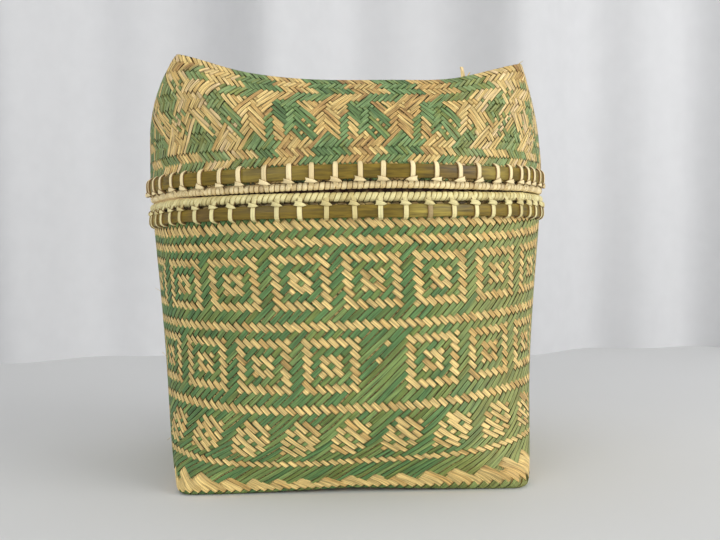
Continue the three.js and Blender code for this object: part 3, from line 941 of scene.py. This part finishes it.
class BASKET_OT_liners(BasketOperator):
    """Plain inner layers of the box and the lid"""
    bl_idname = "basket.liners"
    bl_label = "Plain inner layers"

    def make(self):
        total, slot, material = count("liner_strips"), "plain_weave", plain_material()
        step, lip, draw_in, shrink = 3.4, 160.9, 3.7, 0.985
        fold, straight = size("base_fold"), size("box_straight")
        ply = (1.95, 0.25, size("liner_thickness"))
        rows = LidRows()

        def box_inside(place, row, depth):
            height = lip - row * step
            rise = np.clip((height - fold) / (straight - fold), 0, 1)
            return box_wall(place % 4, height, depth - draw_in * rise ** 2)

        def lid_inside(place, row, depth):
            return rows(place, row * step / FOOT_ROW, depth)

        # a band of the box's inner layer gets the dark red brown: painted shade in the gap where the rims meet
        def lip_gap_band(x, row, dye, tone):
            height = lip - row * step
            return smooth((height - 144.5) / 1.5) * smooth((152.5 - height) / 1.5), tone

        def base_inside(x, y, depth):
            return base_panel(x * shrink, y * shrink, depth)

        def top_inside(x, y, depth):
            return lid_top(x * shrink, y * shrink, depth)

        for body, node, surface, last, tint_and_painted_light in (("box", "body_liner", box_inside, 48.0, lip_gap_band),
                                                ("lid", "lid_liner", lid_inside, 15.0, None)):
            for way, word in WAYS:
                name = f"{body}_inner_{word}_strips"
                mesh = wall_strips(name, way, np.arange(total).astype(float), np.arange(0, last + 1), plain_over,
                                   surface, total / 4, ply, plain_look(5 + way), half_width=0.46, tint_and_painted_light=tint_and_painted_light)
                new_object(name, mesh, body, [node], material)
        for body, surface in (("box", base_inside), ("lid", top_inside)):
            for way, word in WAYS:
                name = f"{body}_inner_panel_{word}_strips"
                mesh = mat_strips(name, way, total // 4, (0.5, 0.5), plain_over, surface, ply,
                                  plain_look(9 + way), 0.46)
                new_object(name, mesh, body, [], material)


def by_rim(body, place, offset, side, height):
    """Points beside a rim: offset counts outward from the wall's outline, and side along it."""
    x, y, out_x, out_y = outline(place, size("mouth_half"), size("mouth_corner"))
    x, y = x + out_x * offset - out_y * side, y + out_y * offset + out_x * side
    return x, y, height + (lid_bow(x, y) if body == "lid" else rim_sag(x))


def ring_band(name, body, profile, columns, nodes, material, move=None, look=None):
    """A band round the rim: profile is a closed list of (offset, height, across) going round its section."""
    rows = len(profile)
    mesh = mesh_from(unit_grid(columns, rows), name, False)
    column, row, _ = grid_numbers(mesh, columns, rows)
    place = column / columns * 4
    offset, height, across = np.array(profile)[row % rows].T
    if move:
        offset, height = move(place % 4, offset, height, across)
    set_points(mesh, *by_rim(body, place % 4, snug(place, offset, body == "lid"), 0.0, height))
    dye, tone = look(place % 4) if look else (0 * place, 0 * place)
    set_strip_data(mesh, across, place * 60, dye, tone, np.full(len(place), 0.37))
    turn_outward(mesh, 1e-7)
    new_object(name, mesh, body, nodes, material)


class BASKET_OT_hoops(BasketOperator):
    """Split bamboo hoops outside and inside the two rims"""
    bl_idname = "basket.hoops"
    bl_label = "Hoops"

    def make(self):
        def section(inner, outer, low, high):
            """Half-round outside, flat inside. The sharp edges are 0.5 mm off, the round ones 0.9 mm."""
            mid, half = (low + high) / 2, (high - low) / 4
            return [(inner, low + 0.5, -1.0), (inner + 0.5, low, -1.0), (outer - 0.9, low, -0.92),
                    (outer - 0.25, low + 0.35, -0.8), (outer - 0.05, mid - half, -0.5),
                    (outer + 0.12, mid, 0.0), (outer - 0.05, mid + half, 0.5),
                    (outer - 0.25, high - 0.35, 0.8), (outer - 0.9, high, 0.92), (inner + 0.5, high, 1.0),
                    (inner, high - 0.5, 1.0)]

        def uneven(ridges, seed):
            """Long waves in a hoop's height, and a ridge at every node of the bamboo."""
            source = np.random.default_rng(count("seed") + seed)
            waves = [(k, source.uniform(0.02, 0.10), source.uniform(0, 6.28)) for k in (3, 5, 9, 14)]

            def move(place, offset, height, across):
                wave = sum(a * np.sin(k * place * math.pi / 2 + s) for k, a, s in waves)
                ridge = sum(np.exp(-(around(place, c) / 0.006) ** 2) for c in ridges)
                return offset + np.where(offset > 2.6, 0.35 * ridge, 0), height + wave * np.sign(across) * 0.8
            return move

        def patches(*kinds):
            """Stained and pale places, each by centre, width and strength."""
            def strength(place, spots):
                return np.clip(sum(a * np.exp(-(around(place, c) / w) ** 4) for c, w, a in spots), 0, 1)
            return lambda place: (strength(place, spots) for spots in kinds)

        skin, slot = hoop_strips("hoop_skin"), "split_bamboo"
        ring_band("box_hoop", "box", section(0.3, 3.4, 135.2, 141.4), 480, ["body_outer_hoop"], skin,
                  uneven((0.62, 2.1, 3.4), 21),
                  patches([(3.55, 0.05, 0.6), (2.1, 0.03, 0.7)], [(0.22, 0.085, 0.75), (3.2, 0.1, 0.4)]))
        ring_band("lid_hoop", "lid", section(0.3, 3.4, 152.5, 159.2), 480, ["lid_outer_hoop"], skin,
                  uneven((1.3, 2.6, 3.7), 22),
                  patches([(0.30, 0.09, 0.55), (1.3, 0.04, 0.5)], [(0.42, 0.06, 0.5), (3.75, 0.12, 0.3)]))
        ring_band("box_inner_hoop", "box", section(-4.9, -1.5, 135.2, 141.1), 240,
                  ["body_inner_hoop"], skin)
        ring_band("lid_inside_hoop", "lid", section(-4.7, -2.7, 152.7, 159.2), 240,
                  ["lid_inner_hoop"], skin)
        ring_band("lip_edging", "box", [(-7.0, 157.2, -1.0), (-6.6, 161.5, 0.0), (-5.6, 162.1, 0.3),
                                        (-4.8, 161.5, 0.6), (-4.5, 157.2, 1.0), (-4.9, 157.0, 1.0),
                                        (-5.65, 157.4, 0.0), (-6.6, 157.0, -1.0)],
                  240, [], plain_material())


def wrapped_bead(body, node, turns, height, radius, lean, seed):
    """Rattan wound round the rod: each turn is one band with a crown, and the next lies against it."""
    columns, rows = turns * 4, 16
    mesh = mesh_from(unit_grid(columns, rows), f"{body}_winding", False)
    column, row, _ = grid_numbers(mesh, columns, rows)
    turn, part = column // 4, column % 4
    angle = (row / rows - 0.5) * 2 * math.pi
    # place in the turn, height and place across it of the four columns of a turn
    share, lift, across = np.array([(0.0, -0.75, -1.0), (0.14, -0.08, -0.72), (0.5, 0.0, 0.0),
                                    (0.86, -0.08, 0.72)])[part].T
    source = np.random.default_rng(count("seed") + seed)

    def along_helix(values):
        """Each turn's own value, running on into the next turn's round the rod and round the rim."""
        helix = turn + row / rows
        whole = np.floor(helix).astype(int)
        return mix(values[whole % turns], values[(whole + 1) % turns], helix - whole)

    # three numbers of each draw are left unused, so that the ones that follow stay as they were
    wobble = along_helix(source.uniform(-0.09, 0.09, turns + 3))
    push = along_helix(source.uniform(-0.12, 0.08, turns + 3))
    along = turn + share + row / rows - 0.5 + lean * np.sin(angle) / (2 * math.pi) + wobble
    place = (along / turns * 4) % 4
    reach = radius + lift + push * (lift > -0.5)
    sides = sum(np.exp(-((place - side) / 0.35) ** 2) for side in (1, 3))
    offset = -size("wall_middle") + 0.5 * sides + reach * np.cos(angle)
    set_points(mesh, *by_rim(body, place, offset, 0.0, height + reach * np.sin(angle)))
    tone = source.random(turns + 1)
    stain_and_shade = np.where(source.random(turns + 1) > 0.96, 0.35, 0.0)
    corners = corner_points(mesh)
    face_column = np.repeat(column[corners].reshape(-1, 4).min(axis=1), 4)
    owner = (face_column // 4) % turns
    across = np.where((part[corners] == 0) & (column[corners] != face_column), 1.0, across[corners])
    set_strip_data(mesh, across, angle[corners] * 1.2 + (face_column // 4) * 7.3, stain_and_shade[owner], tone[owner],
                   tone[owner], 'CORNER')
    turn_outward(mesh, 1e-6)
    new_object(f"{body}_winding", mesh, body, [node], rattan_material(body))


# places of the front's lashings, in sixtieths of the rim from its middle
LASHINGS = {
    "box": (-10.4, -9.7, -8.8, -8.0, -7.0, -6.0, -5.1, -4.1, -3.1, -2.15, -1.1, 0.05, 1.15, 2.15, 3.15, 4.2,
            5.25, 6.2, 7.2, 8.1, 8.95, 9.7),
    "lid": (-10.5, -9.65, -8.6, -7.75, -6.7, -5.65, -4.7, -3.6, -2.6, -1.7, -0.7, 0.3, 1.25, 2.4, 3.45, 4.5,
            5.45, 6.45, 7.3, 8.15, 8.8, 9.45),
}


def lashing_places(body):
    """Places of the lashings, uneven at the front and even round the rest, and the source of their details."""
    source = np.random.default_rng(count("seed") + (41 if body == "box" else 42))
    front, total = LASHINGS[body], count("lashings")
    first, last = front[0] + 60, front[-1]
    rest = last + (first - last) * np.arange(1, total - len(front) + 1) / (total - len(front) + 1)
    rest += source.uniform(-0.1, 0.1, len(rest))
    return np.concatenate([front, rest]) / 15 % 4, source


def straps(body, path, slants, stained=-1):
    """Lashings over a hoop. path lists (offset, height, width share) from the bead to the weave."""
    total, rows, name = count("lashings"), len(path), f"{body}_lashings"
    mesh, band, column, row, top = strip_mesh(name, total, 4, rows)
    places, source = lashing_places(body)
    table = np.array(path)
    offset, height, wide = table[row].T
    across = np.array([-1.0, -0.62, 0.62, 1.0])[column]
    crown = np.array([-0.22, 0.0, 0.0, -0.22])[column]
    tilt = source.normal(0, 0.25, total) + slants(places)
    bend = source.normal(0, 0.22, total)
    share = row / (rows - 1)
    run = (share - 0.35) * tilt[band] + bend[band] * np.sin(share * math.pi)
    side = run + across * size("strap_width") / 2 * wide * (1 + source.uniform(-0.06, 0.06, total)[band])
    step_out, step_up, _ = (table[np.minimum(row + 1, rows - 1)] - table[np.maximum(row - 1, 0)]).T
    long = np.hypot(step_out, step_up) * np.sign(table[-1, 1] - table[0, 1])
    thick = np.where(top, 0.0, -size("strap_thickness")) + crown
    offset, height = offset + step_up / long * thick, height - step_out / long * thick
    set_points(mesh, *by_rim(body, places[band], snug(places[band], offset, body == "lid"), side, height))
    tone = source.random(total)[band]
    spot = 0.7 * ((band == stained) & (np.abs(share - 0.55) < 0.2))
    # spot is a stained place; the rise over the last part is painted shade where the lashing goes into the weave
    dye = np.clip(spot + 0.55 * smooth((share - 0.86) / 0.14), 0, 1)
    set_strip_data(mesh, across, share * 6 + band * 3.1, dye, tone, tone)
    new_object(name, mesh, body, [], rattan_material(body))


def knots(body, height, turned, long=2.9, blunt=0.0):
    """A small splayed band across each lashing, forked at one end and pointed at the other.

    long is half its length; blunt widens the points of those right of the front's middle."""
    total, name = count("lashings"), f"{body}_knots"
    mesh, band, column, row, top = strip_mesh(name, total, 8, 4)
    places, source = lashing_places(body)
    u = np.array([-1.0, -0.78, -0.45, -0.1, 0.2, 0.5, 0.78, 1.0])[column]
    v = np.array([-1.0, -0.35, 0.35, 1.0])[row]
    tall = np.interp(u, [-1, -0.6, 0, 0.5, 1], [1.25, 1.2, 1.05, 0.85, 0.12])
    tall = mix(tall, 1.5 - 0.3 * u ** 2, blunt * smooth((around(places, 0.3) + 0.1) / 0.15)[band])
    notch = np.where(u < -0.95, 0.7 * (1 - np.abs(v)), 0.0)
    run = (u * long + notch) * (1 + source.uniform(-0.1, 0.1, total)[band])
    rise = v * tall * (1 + source.uniform(-0.1, 0.12, total)[band])
    flip, angle = turned(places)
    run = run * flip[band]
    swing = (angle + source.normal(0, 0.10, total))[band]
    side = run * np.cos(swing) - rise * np.sin(swing)
    up = run * np.sin(swing) + rise * np.cos(swing)
    offset = 4.75 - 1.1 * np.abs(u) ** 1.6 - 0.35 * np.abs(v) ** 2 - np.where(top, 0.0, 0.6)
    set_points(mesh, *by_rim(body, places[band], snug(places[band], offset, body == "lid"), side, height + up))
    tone = source.random(total)[band]
    set_strip_data(mesh, v, u * 2 + band * 3.3, 0 * tone + 0.06, tone, tone)
    turn_outward(mesh)
    new_object(name, mesh, body, [], rattan_material(body))


class BASKET_OT_rims(BasketOperator):
    """Wound rods, lashings and their knots on both rims"""
    bl_idname = "basket.rims"
    bl_label = "Lashed rims"

    def make(self):
        wrapped_bead("box", "body_rim_binding", count("box_turns"), 144.9, 2.35, 0.7, 31)
        wrapped_bead("lid", "lid_rim_binding", count("lid_turns"), 149.55, 1.95, -0.6, 32)
        straps("box", [(1.0, 145.8, 1.0), (2.0, 144.4, 1.0), (2.9, 142.9, 0.95), (3.6, 141.5, 0.95),
                       (4.2, 140.1, 1.0), (4.35, 138.2, 1.0), (4.25, 136.4, 1.0), (3.6, 135.1, 1.0),
                       (2.2, 134.4, 0.95), (0.8, 134.0, 0.85), (-0.4, 133.8, 0.7)],
               lambda places: 0.9 * np.sin(around(places) * math.pi / 2), 14)
        straps("lid", [(0.6, 148.9, 1.0), (1.6, 150.2, 1.0), (2.7, 151.5, 0.95), (3.6, 152.5, 0.95),
                       (4.2, 154.0, 1.0), (4.35, 156.0, 1.0), (4.25, 158.0, 1.0), (3.8, 159.3, 1.0),
                       (2.9, 160.1, 0.95), (1.9, 160.6, 0.85), (0.9, 160.9, 0.7)],
               lambda places: 0 * places)
        knots("box", 141.9, lambda places: (np.ones(len(places)), np.full(len(places), -0.22)), 2.8, 0.6)
        knots("lid", 152.0, lambda places: np.where(around(places) < 0.12, [[1.0], [-0.15]], [[-1.0], [0.12]]))
        peeled = mottled("peeled_rod", 900.0, 2.0, paint("plain_dark"), paint("plain"), 0.6)
        for node in ("body_rim_core", "lid_rim_core"):
            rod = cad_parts[node]
            rod.data.materials.clear()
            rod.data.materials.append(peeled)


class BASKET_OT_loose_ends(BasketOperator):
    """Ends of splints and fibres that have come loose from the weave"""
    bl_idname = "basket.loose_ends"
    bl_label = "Loose ends"

    def make(self):
        # place in quarters, height, root offset, lean sideways, outward reach, rise, width at root and tip
        lid_ends = ((0.332, 203.0, -1.0, -1.2, 0.3, 4.6, 2.4, 1.7),
                    (0.345, 203.0, -0.6, 0.7, 0.6, 1.6, 1.0, 0.4), (0.5, 209.8, -0.6, 1.6, 1.6, 1.3, 0.8, 0.2),
                    (0.86, 190.0, 0.2, -1.0, 2.4, 0.5, 0.5, 0.15), (3.36, 203.4, 0.0, 0.6, 0.8, 0.9, 0.9, 0.3))
        box_ends = ((3.14, 98.0, 0.0, 1.2, 2.6, 1.6, 0.4, 0.1), (3.2, 62.0, 0.0, -1.5, 2.2, 2.4, 0.4, 0.1),
                    (3.3, 22.0, 0.3, 1.0, 2.2, -1.4, 0.5, 0.1), (0.72, 130.0, 0.0, -0.8, 1.8, -0.8, 0.4, 0.1))
        for body, material, ends in (("lid", lid_material(), lid_ends), ("box", weave_material(), box_ends)):
            name = f"{body}_loose_ends"
            mesh, band, column, row, top = strip_mesh(name, len(ends), 2, 6)
            place, height, root, lean, reach, rise, wide, tip = np.array(ends)[band].T
            share, across = row / 5, np.where(column == 0, -1.0, 1.0)
            if body == "lid":
                foot, edge = size("lid_straight"), size("lid_base") + size("lid_side")
                level = np.clip((height - foot) / (edge - foot), 0, 1)
                x, y, z = lid_wall(place, level, 0 * level, 0 * level)
            else:
                x, y, z = box_wall(place, height, 0 * height)
            _, _, out_x, out_y = outline(place, size("mouth_half"), size("mouth_corner"))
            side = lean * share ** 1.5 + across * mix(wide, tip, share) / 2
            out = root + reach * share ** 1.3 + np.where(top, 0.12, -0.12)
            x, y = x + out_x * out - out_y * side, y + out_y * out + out_x * side
            set_points(mesh, x, y, z + rise * share - 0.4 * (1 - share))
            tone = np.full(len(x), 0.15)
            set_strip_data(mesh, across * 0.8, share * 4 + band * 2.7, 0 * tone, tone, tone + band * 0.1)
            turn_outward(mesh)
            new_object(name, mesh, body, [], material)


# ---------------------------------------------------------------- stage

class BASKET_OT_stage(BasketOperator):
    """Camera, pale table, cloth behind and soft light"""
    bl_idname = "basket.stage"
    bl_label = "Stage"

    def make(self):
        scene = bpy.context.scene
        scene.view_settings.view_transform = 'Standard'
        self.camera(scene)
        self.sheet("table", 8, 8, lambda right, up: (right * 6000 - 3000, up * 6000 - 3000, 0 * up),
                   mottled("table_paint", 3.0, 3.0, paint("floor", 0.98), paint("floor"), 0.75))
        self.sheet("backdrop", 400, 4, self.folds,
                   mottled("backdrop_cloth", 60.0, 2.0, paint("backdrop", 0.97), paint("backdrop"), 0.9))
        self.light("right_window", (1.5, -0.9, 0.6), (0, 0, 0.1), 1.3, 20.5)
        self.light("front_window", (-1.0, -1.7, 0.5), (0, 0, 0.1), 1.5, 16.5)
        self.light("top_window", (-0.1, 0.1, 1.9), (0, 0, 0), 1.8, 6.5)
        world = bpy.data.worlds.new("room")
        world.use_nodes = True
        shade = world.node_tree.nodes["Background"]
        shade.inputs["Color"].default_value = (0.94, 0.96, 1.0, 1.0)
        shade.inputs["Strength"].default_value = 0.5
        scene.world = world

    def camera(self, scene):
        """The photo's view: a little left of the middle, turned, tipped down and rolled a little."""
        camera = bpy.data.cameras.new("camera")
        camera.lens, camera.sensor_width, camera.clip_end = 55.9, 36.0, 20.0
        holder = bpy.data.objects.new("camera", camera)
        scene.collection.objects.link(holder)
        left, turned, raised, rolled = (math.radians(angle) for angle in (1.69, 0.666, 90 - 2.714, 0.6))
        far, height = 0.632, 0.1355
        holder.location = (-far * math.sin(left), -far * math.cos(left), height)
        facing = Matrix.Identity(3)
        for angles in ((0, 0, -left - turned), (raised, 0, 0), (0, 0, -rolled)):
            facing = facing @ Euler(angles).to_matrix()
        holder.rotation_euler = facing.to_euler()
        scene.camera = holder

    def folds(self, right, up):
        """The cloth, 4.4 m wide and 1.8 m high, hangs 0.47 m behind the middle of the box."""
        x = (right * 2 - 1) * 2.2
        fold = 0.022 * np.sin(x * 23 + 0.8 * np.sin(x * 7)) + 0.012 * np.sin(x * 51 + 1.3)
        return x * 1000, (0.47 + fold) * 1000, up * 1800

    def sheet(self, name, wide, tall, surface, material):
        """A table or a cloth, which doesn't hide the basket from below or from the back."""
        mesh = mesh_from(unit_grid(wide, tall), name, False)
        column, row, _ = grid_numbers(mesh, wide, tall)
        set_points(mesh, *surface(column / wide, row / tall))
        mesh.polygons.foreach_set("use_smooth", [True] * len(mesh.polygons))
        sheet = bpy.data.objects.new(name, mesh)
        bpy.context.scene.collection.objects.link(sheet)
        tree = material.node_tree
        back = add(tree, "ShaderNodeNewGeometry").outputs["Backfacing"]
        front, clear = tree.nodes["Principled BSDF"], add(tree, "ShaderNodeBsdfTransparent")
        both = add(tree, "ShaderNodeMixShader", {0: back, 1: front.outputs[0], 2: clear.outputs[0]})
        put(tree, tree.nodes["Material Output"].inputs["Surface"], both.outputs[0])
        mesh.materials.append(material)

    def light(self, name, place, target, width, power):
        lamp = bpy.data.lights.new(name, 'AREA')
        lamp.shape, lamp.size, lamp.energy = 'SQUARE', width, power
        holder = bpy.data.objects.new(name, lamp)
        holder.location = place
        holder.rotation_euler = (Vector(target) - Vector(place)).to_track_quat('-Z', 'Y').to_euler()
        bpy.context.scene.collection.objects.link(holder)


# ---------------------------------------------------------------- add-on

OPERATORS = (BASKET_OT_stage, BASKET_OT_box_weave, BASKET_OT_box_base, BASKET_OT_lid_weave, BASKET_OT_lid_top,
             BASKET_OT_liners, BASKET_OT_hoops, BASKET_OT_rims, BASKET_OT_loose_ends)


class BASKET_PT_panel(bpy.types.Panel):
    bl_label = "Woven bamboo box"
    bl_idname = "BASKET_PT_panel"
    bl_space_type = 'VIEW_3D'
    bl_region_type = 'UI'
    bl_category = "Basket"

    def draw(self, context):
        for operator in OPERATORS:
            self.layout.operator(operator.bl_idname)


CLASSES = (BasketSizes, BasketColours) + OPERATORS + (BASKET_PT_panel,)


def register():
    for item in CLASSES:
        bpy.utils.register_class(item)
    bpy.types.Scene.basket_sizes = PointerProperty(type=BasketSizes)
    bpy.types.Scene.basket_colours = PointerProperty(type=BasketColours)


def unregister():
    del bpy.types.Scene.basket_sizes
    del bpy.types.Scene.basket_colours
    for item in reversed(CLASSES):
        bpy.utils.unregister_class(item)


def main():
    register()
    for operator in OPERATORS:
        group, name = operator.bl_idname.split(".")
        getattr(getattr(bpy.ops, group), name)()
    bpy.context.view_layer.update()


if __name__ == "__main__":
    main()
